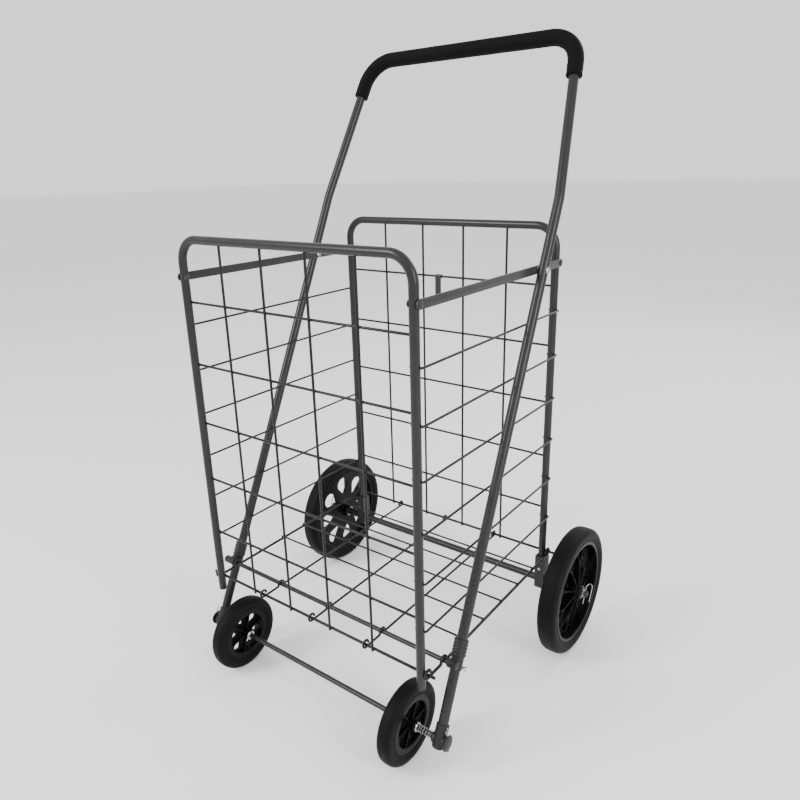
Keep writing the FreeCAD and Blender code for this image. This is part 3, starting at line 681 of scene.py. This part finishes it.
# ---- handle frame ------------------------------------------------------------------------
HANDLE_FOOT_DROP = 7.0
GRIP_CLEAR = 0.15
GRIP_STEP = 1.6
GRIP_LIP = {"height": 0.25, "at": 2.2, "width": 1.8}
GRIP_NECK = {"height": 0.35, "at": 6.5, "width": 2.0}
GRIP_DENTS = ((0.10, 0.035), (0.03, 0.12))
GRIP_FOLD_DEPTH = 0.22
GRIP_FOLD_RATE = 0.9
GRIP_FOLD_SIDE = 6
GRIP_FOLD_RISE = 14
COLLAR_LENGTH, COLLAR_RISE = 27, 1.0
BEADS = 5
BEAD_START, BEAD_PITCH = 24.5, 5
BEAD_LENGTH, BEAD_RISE = 2.6, 1.9
SOCKET_ROOT = 8.5
SOCKET_WEB_HALF = 5.6
BOOT_BELOW, BOOT_ABOVE = 13, 24
BOOT_RIM = (20.5, 23.6)
BOOT_RIM_RISE = 0.2
BOSS_R, BOSS_HALF = 8.6, 11.2
FRONT_CAP = [(0, AXIS_R), (0, 12.0), (0.8, 12.5), (1.8, 12.3), (3.0, 10.4), (3.8, 7.0),
             (4.3, 3.0), (4.35, AXIS_R)]
FRONT_CAP_TAB = ((-3, 11), (3, 11), (1.4, 14.4), (-1.4, 14.4))
FRONT_CAP_TAB_X = (259.0, 261.2)
SPRING_INNER_X, SPRING_OUTER_X = 208.0, 235.2
REAR_CAP = [(0, AXIS_R), (0, 5.9), (0.5, 6.2), (1.5, 6.1), (3.2, 4.7), (4.2, 2.6),
            (4.55, 1.0), (4.58, AXIS_R)]


def handle_y(z):
    return FRONT_AXLE_Y + math.tan(HANDLE_LEAN) * (z - FRONT_AXLE_Z)


def leg_point(side, z):
    part = (z - FRONT_AXLE_Z) / (BEND_Z - FRONT_AXLE_Z)
    return vec(side * (FOOT_X + (BEND_X - FOOT_X) * part), handle_y(z), z)


def leg_direction(side):
    return (leg_point(side, BEND_Z) - leg_point(side, FRONT_AXLE_Z)).normalized()


def handle_tube():
    foot_z = FRONT_AXLE_Z - HANDLE_FOOT_DROP
    right = [vec(FOOT_X, handle_y(foot_z), foot_z), leg_point(1, BEND_Z),
             vec(TOP_X, handle_y(HANDLE_TOP_Z), HANDLE_TOP_Z)]
    points = right + [vec(-p.x, p.y, p.z) for p in reversed(right)]
    radii = [HANDLE_BEND, HANDLE_CORNER, HANDLE_CORNER, HANDLE_BEND]
    tube = swept(spaced(bent_path(points, radii, turn=3.0), LONGEST_RUN), HANDLE_R, sides=44)
    piece("handle_bar", tube, "handle_frame", "tube_paint", ["handle_tube"])


def swell(distance, height, at, width):
    return height * math.exp(-((distance - at) / width) ** 2)


def foam_grip():
    """Foam sleeve with rolled lips at its ends and slight compression folds inside the bends."""
    low = (GRIP_END_Z - BEND_Z) / (HANDLE_TOP_Z - BEND_Z)
    end = vec(BEND_X + (TOP_X - BEND_X) * low, handle_y(GRIP_END_Z), GRIP_END_Z)
    corner = vec(TOP_X, handle_y(HANDLE_TOP_Z), HANDLE_TOP_Z)
    points = [end, corner, vec(-corner.x, corner.y, corner.z), vec(-end.x, end.y, end.z)]
    path = spaced(bent_path(points, [HANDLE_CORNER, HANDLE_CORNER], turn=2.0), GRIP_STEP)
    length = distances(path)[-1]

    def size(d):
        near = min(d, length - d)
        lip = swell(near, **GRIP_LIP) - swell(near, **GRIP_NECK)
        return GRIP_R - GRIP_CLEAR + lip

    sides = 56
    verts, faces = swept(path, size, sides, edge=0.16)
    bend_centres = [vec(s * (TOP_X - HANDLE_CORNER), handle_y(HANDLE_TOP_Z - HANDLE_CORNER),
                        HANDLE_TOP_Z - HANDLE_CORNER) for s in (-1, 1)]
    for start in range(0, len(verts), sides):
        ring = verts[start:start + sides]
        middle = sum(ring, Vector()) / sides
        for k, v in enumerate(ring):
            out = (v - middle).normalized()
            push = sum(depth * noise.noise(v * rate) for depth, rate in GRIP_DENTS)
            inward = min(((c - middle).length, c) for c in bend_centres)[1] - middle
            past_side = abs(middle.x) > TOP_X - HANDLE_CORNER - GRIP_FOLD_SIDE
            if past_side and middle.z > GRIP_END_Z + GRIP_FOLD_RISE:
                facing = max(0.0, out.dot(inward.normalized()))
                wave = math.sin(middle.x * GRIP_FOLD_RATE + middle.z * GRIP_FOLD_RATE)
                push += GRIP_FOLD_DEPTH * facing ** 2 * wave
            verts[start + k] = v + out * push
    piece("grip_sleeve", (verts, faces), "handle_frame", "foam", ["foam_grip"], 50)


def rod_sleeve(side_name):
    side = SIDES[side_name]
    along = leg_direction(side)
    low = leg_point(side, SLEEVE_FOOT)
    length = (SLEEVE_TOP - SLEEVE_FOOT) / along.z
    top = low + along * length
    collar = low + along * (length - COLLAR_LENGTH)
    parts = [swept([low, top], SLEEVE_R, sides=48, edge=0.12),
             swept([collar, top], SLEEVE_R + COLLAR_RISE, sides=48, edge=0.12)]
    for i in range(BEADS):
        start = low + along * (length - BEAD_START + BEAD_PITCH * i)
        bead = [start, start + along * BEAD_LENGTH]
        parts.append(swept(bead, SLEEVE_R + BEAD_RISE, sides=48, edge=0.08))
    x = side * (FOOT_X - 1)
    ends = sorted((x - side * SOCKET_ROOT, side * SOCKET_MOUTH[side]))
    socket = [vec(end, ROD_Y, ROD_Z) for end in ends]
    parts.append(swept(socket, SOCKET_R, sides=40, edge=0.3))
    back = leg_point(side, ROD_Z)
    web = [vec(0, ROD_Y, ROD_Z - 5.8), vec(0, back.y, ROD_Z - 7), vec(0, back.y + 4, ROD_Z + 9),
           vec(0, ROD_Y + 2, ROD_Z + 5.8)]
    parts.append(prism(web, x - SOCKET_WEB_HALF, x + SOCKET_WEB_HALF))
    obj = moulded("sleeve_" + side_name, parts, **SMALL_MOULDING)
    finish_piece(obj, "handle_frame", "moulding", ["rod_sleeve_" + side_name], 0)


def foot_boot(side_name):
    side = SIDES[side_name]
    along = leg_direction(side)
    foot = leg_point(side, FRONT_AXLE_Z)
    span = [foot - along * BOOT_BELOW, foot + along * BOOT_ABOVE]
    body = swept(span, BOOT_R, sides=48, edge=0.35)
    lip = [foot + along * distance for distance in BOOT_RIM]
    rim = swept(lip, BOOT_R + BOOT_RIM_RISE, sides=48, edge=0.15)
    across = [vec(foot.x + offset, foot.y, foot.z) for offset in (-BOSS_HALF, BOSS_HALF)]
    boss = swept(across, BOSS_R, sides=40, edge=0.12)
    obj = moulded("boot_" + side_name, [body, rim, boss], **SMALL_MOULDING)
    finish_piece(obj, "handle_frame", "moulding", ["foot_boot_" + side_name], 0)


def axle_caps():
    parts = []
    for side in (-1, 1):
        outline = [(u * side, r) for u, r in softened(FRONT_CAP, 0.6)]
        parts.append(lathe(outline, side * FRONT_CAP_X, FRONT_AXLE_Y, FRONT_AXLE_Z, segments=48))
        tab = [vec(0, FRONT_AXLE_Y + along, FRONT_AXLE_Z - drop) for along, drop in FRONT_CAP_TAB]
        parts.append(prism(tab, *sorted(side * x for x in FRONT_CAP_TAB_X)))
    piece("axle_end_caps", merged(parts), "handle_frame", "moulding", ["front_axle_caps"])


def springs():
    """Compression springs with closed ends between each front wheel and boot."""
    coil_r, wire_r, turns, steps = 5.0, 0.65, 7.0, 168
    even_share, closed_share = 0.45, 0.55
    start, end = SPRING_INNER_X + wire_r, SPRING_OUTER_X - wire_r
    parts = []
    for side in (-1, 1):
        path = []
        for k in range(steps + 1):
            t = k / steps
            closed = 0.5 - 0.5 * math.cos(math.pi * t)
            along = start + (end - start) * (even_share * t + closed_share * closed)
            a = 2 * math.pi * turns * t
            path.append(vec(side * along, FRONT_AXLE_Y + coil_r * math.sin(a),
                            FRONT_AXLE_Z + coil_r * math.cos(a)))
        parts.append(swept(path, wire_r, sides=12, edge=0.1))
    piece("hub_springs", merged(parts), "handle_frame", "zinc", ["front_springs"], 70)


def rear_caps():
    """Domed plastic caps on the ends of the rear axle."""
    parts = []
    for side in (-1, 1):
        outline = [(u * side, r) for u, r in softened(REAR_CAP, 0.5)]
        parts.append(lathe(outline, side * REAR_CAP_X, REAR_Y, REAR_AXLE_Z, segments=40))
    piece("rear_end_caps", merged(parts), "rear_frame", "moulding", ["rear_axle_caps"])


# ---- wheels ------------------------------------------------------------------------------
def mirrored_outline(right):
    """Closed outline from the points of its +X half, listed from the inner to the outer radius."""
    return right + [(-u, r) for u, r in reversed(right)]


REAR_TYRE = [(14.6, 94.0), (15.6, 94.9), (16.3, 96.6), (16.3, 97.7), (15.6, 98.3), (15.6, 99.1),
             (16.6, 99.9), (17.2, 102.5), (17.45, 105.5), (17.3, 108.3), (16.5, 111.2), (15.0, 113.7),
             (12.8, 115.7), (10.0, 116.9), (6.5, 117.4), (2.5, 117.5)]
FRONT_TYRE = [(10.8, 46.0), (11.5, 46.7), (12.0, 48.0), (12.0, 49.2), (11.3, 49.8), (11.3, 50.8),
              (12.1, 51.5), (12.45, 54.0), (12.45, 56.5), (12.1, 59.2), (11.2, 61.7), (9.7, 63.8),
              (7.6, 65.2), (5.0, 65.85), (2.0, 66.0)]
TYRE_CORNER = 0.7
TYRE_SEGMENTS = 200
WEB_HALF = 1.75
WEB_SINK = 2
WINDOW_REACH = 12
WINDOW_TIP_HALF, WINDOW_TIP_RISE = 1.6, 0.8
RIB_THICK = 2.1
REAR_RIM = {"voxel": 0.85, "band": [(13.2, 88.0), (14.6, 88.6), (15.0, 89.6), (15.0, 94.2)],
            "web": (15.0, 88.6), "web_at": -6.0, "hub": [(20.9, 4.15), (20.9, 11.4), (19.6, 12.8),
                                                         (12.0, 14.2), (2.0, 15.2)],
            "spokes": 8, "rib_foot": -6.0, "rib_top": (12.0, -1.0), "hole": (64.5, 16.0, 23.5),
            "ribs": [((13.0, 0.0), (49.0, 0.0)), ((48.0, 0.0), (88.8, 13.0)),
                     ((48.0, 0.0), (88.8, -13.0)), ((84.5, -12.0), (84.5, 12.0))],
            "turn": {-1: -4.0, 1: 2.5}}
FRONT_RIM = {"voxel": 0.7, "band": [(9.0, 36.0), (10.4, 36.5), (11.0, 37.4), (11.0, 46.2)],
             "web": (9.0, 36.6), "web_at": 0.0, "hub": [(18.0, 4.3), (18.0, 6.9), (17.0, 8.0),
                                                        (10.0, 8.8), (2.0, 9.5)],
             "spokes": 6, "rib_foot": -8.5, "rib_top": (8.5, 8.5), "hole": (29.0, 5.8, 9.0),
             "ribs": [((8.0, 0.0), (36.8, 0.0))],
             "turn": {-1: -14.5, 1: -3.0}}


def polar(radius, degrees):
    a = math.radians(degrees)
    return vec(0, radius * math.sin(a), radius * math.cos(a))


def window(at, half_width, length, turn):
    """Teardrop window outline, round end outwards, turned about the wheel axis."""
    angles = [math.radians(a) for a in range(-102, 103, 6)]
    points = [vec(0, half_width * math.sin(a), at + half_width * math.cos(a)) for a in angles]
    tip_z = at - length
    points += [vec(0, WINDOW_TIP_HALF, tip_z + WINDOW_TIP_RISE), vec(0, 0, tip_z),
               vec(0, -WINDOW_TIP_HALF, tip_z + WINDOW_TIP_RISE)]
    return [Matrix.Rotation(math.radians(-turn), 3, "X") @ p for p in points]


def rim_mesh(size):
    """Wheel centre of the right side at the origin: band, pierced web, hub and ribs in one skin."""
    step = 360.0 / size["spokes"]
    web_in, web_out = size["web"]
    low, high = size["web_at"] - WEB_HALF, size["web_at"] + WEB_HALF
    root = web_in - WEB_SINK
    web = lathe([(low, root), (low, web_out), (high, web_out), (high, root)], 0, 0, 0, 120)
    cutters = [prism(window(*size["hole"], step * i), -WINDOW_REACH, WINDOW_REACH)
               for i in range(size["spokes"])]
    parts = [cut(web, cutters), lathe(mirrored_outline(size["band"]), 0, 0, 0, 160),
             lathe(mirrored_outline(size["hub"][::-1])[::-1], 0, 0, 0, 64)]
    for i in range(size["spokes"]):
        parts += [rib(size, start, end, step * (i + 0.5)) for start, end in size["ribs"]]
    return moulded("rim", parts, size["voxel"], rounds=3, keep=0.35)


def rib(size, start, end, turn):
    """Thin rib standing on the web; its free edge slopes from the hub to the rim band."""
    at_hub, at_band = size["rib_top"]
    hub_r, band_in = size["hub"][-1][1], size["band"][0][1]
    ends = []
    for radius, angle in (start, end):
        part = (radius - hub_r) / (band_in - hub_r)
        ends.append((polar(radius, angle + turn), at_hub + (at_band - at_hub) * part))
    run = ends[1][0] - ends[0][0]
    across = vec(0, -run.z, run.y).normalized() * (RIB_THICK / 2)
    verts = []
    for point, top in ends:
        for offset in (across, -across):
            verts += [point + offset + vec(size["rib_foot"], 0, 0), point + offset + vec(top, 0, 0)]
    faces = [[0, 1, 3, 2], [4, 6, 7, 5], [0, 4, 5, 1], [2, 3, 7, 6], [0, 2, 6, 4], [1, 5, 7, 3]]
    return verts, faces


def wheels():
    for place, size, outline, spot in (
            ("rear", REAR_RIM, REAR_TYRE, vec(REAR_WHEEL_X, REAR_Y, REAR_AXLE_Z)),
            ("front", FRONT_RIM, FRONT_TYRE, vec(FRONT_WHEEL_X, FRONT_AXLE_Y, FRONT_AXLE_Z))):
        rim = rim_mesh(size)
        for side_name, side in SIDES.items():
            body = "%s_wheel_%s" % (place, side_name)
            centre = vec(side * spot.x, spot.y, spot.z)
            mesh = rim.data.copy()
            turned = Matrix.Rotation(math.radians(-size["turn"][side]), 4, "X")
            mirror = Matrix.Diagonal((side, 1.0, 1.0, 1.0))
            mesh.transform(Matrix.Translation(centre * MM) @ turned @ mirror)
            if side < 0:
                mesh.flip_normals()
            obj = bpy.data.objects.new("%s_spoked_rim_%s" % (place, side_name), mesh)
            bpy.context.scene.collection.objects.link(obj)
            finish_piece(obj, body, "rim_plastic", ["%s_rim_%s" % (place, side_name)], 0)
            tread = softened(mirrored_outline(outline), TYRE_CORNER)
            data = lathe(tread, centre.x, centre.y, centre.z, TYRE_SEGMENTS)
            piece("%s_tread_%s" % (place, side_name), data, body, "tyre",
                  ["%s_tyre_%s" % (place, side_name)], 0)
        discard(rim)


# ---- stage, lights and camera ------------------------------------------------------------
STAGE_REACH = 30.0
STAGE_COLOR = (0.86, 0.86, 0.86, 1.0)
STAGE_ROUGHNESS = 0.7
WORLD_COLOR = (1.0, 1.0, 1.0, 1.0)
WORLD_STRENGTH = 1.35
LIGHT_AIM = (0.0, 0.0, 0.5)
LIGHTS = {"key": ((-1.5, -2.4, 2.3), (0.8, 1.6), 95.0),
          "fill": ((2.6, -0.6, 1.5), (0.7, 1.6), 60.0),
          "back": ((0.6, 2.6, 2.2), (1.2, 1.2), 30.0)}


def area_light(name, place, size, power):
    data = bpy.data.lights.new(name, "AREA")
    data.shape = "RECTANGLE"
    data.size, data.size_y = size
    data.energy = power
    obj = bpy.data.objects.new(name, data)
    obj.location = place
    obj.rotation_mode = "QUATERNION"
    obj.rotation_quaternion = (Vector(LIGHT_AIM) - Vector(place)).to_track_quat("-Z", "Y")
    bpy.context.scene.collection.objects.link(obj)


def stage():
    mesh = bpy.data.meshes.new("studio_floor")
    far = STAGE_REACH
    corners = [(-far, -far, 0), (far, -far, 0), (far, far, 0), (-far, far, 0)]
    mesh.from_pydata(corners, [], [[0, 1, 2, 3]])
    ground = bpy.data.objects.new("studio_floor", mesh)
    bpy.context.scene.collection.objects.link(ground)
    n = Nodes("pale_floor")
    n.fix("Base Color", STAGE_COLOR)
    n.fix("Roughness", STAGE_ROUGHNESS)
    mesh.materials.append(n.material)
    world = bpy.data.worlds.new("studio")
    bpy.context.scene.world = world
    world.use_nodes = True
    background = world.node_tree.nodes["Background"]
    background.inputs["Color"].default_value = WORLD_COLOR
    background.inputs["Strength"].default_value = WORLD_STRENGTH
    for name, (place, size, power) in LIGHTS.items():
        area_light(name, place, size, power)


CAMERA_PLACE = (0.68766, -0.88250, 0.87465)
CAMERA_AZIMUTH, CAMERA_ELEVATION, CAMERA_ROLL = 37.11, 18.32, -1.55
CAMERA_LENS = 30.585
CAMERA_SHIFT = (0.0014, -0.0116)
SENSOR_WIDTH = 36.0
VIEW_END = 100.0


def camera():
    azimuth, elevation, roll = (math.radians(a) for a in
                                (CAMERA_AZIMUTH, CAMERA_ELEVATION, CAMERA_ROLL))
    back = vec(math.sin(azimuth) * math.cos(elevation), -math.cos(azimuth) * math.cos(elevation),
               math.sin(elevation))
    level = vec(math.cos(azimuth), math.sin(azimuth), 0)
    rise = back.cross(level)
    right = level * math.cos(roll) + rise * math.sin(roll)
    up = rise * math.cos(roll) - level * math.sin(roll)
    data = bpy.data.cameras.new("camera")
    data.sensor_width = SENSOR_WIDTH
    data.lens = CAMERA_LENS
    data.shift_x, data.shift_y = CAMERA_SHIFT
    data.clip_end = VIEW_END
    obj = bpy.data.objects.new("camera", data)
    bpy.context.scene.collection.objects.link(obj)
    turn = Matrix((right, up, back)).transposed().to_4x4()
    obj.matrix_world = Matrix.Translation(CAMERA_PLACE) @ turn
    bpy.context.scene.camera = obj


# ---- build ---------------------------------------------------------------------------------
def build():
    dress_cad_nodes()
    for place, plane_y in (("front", FRONT_Y), ("rear", REAR_Y)):
        body = place + "_frame"
        frame_tube(place + "_hoop", plane_y, body, place + "_frame_tube")
        panel_grid(place + "_grid", plane_y, body, place + "_wires")
        tube_plugs(place + "_foot_plugs", plane_y, body, place + "_tube_plugs")
        pivot_rivets(place + "_rivets", plane_y, body, place + "_pivot_rivets")
    for number, z in enumerate(SIDE_ROWS, start=1):
        side_wire_pair(number, z)
    floor()
    handle_tube()
    foam_grip()
    for name in SIDES:
        link_bar(name)
        rod_sleeve(name)
        foot_boot(name)
    axle_caps()
    springs()
    rear_caps()
    wheels()
    stage()
    camera()


build()
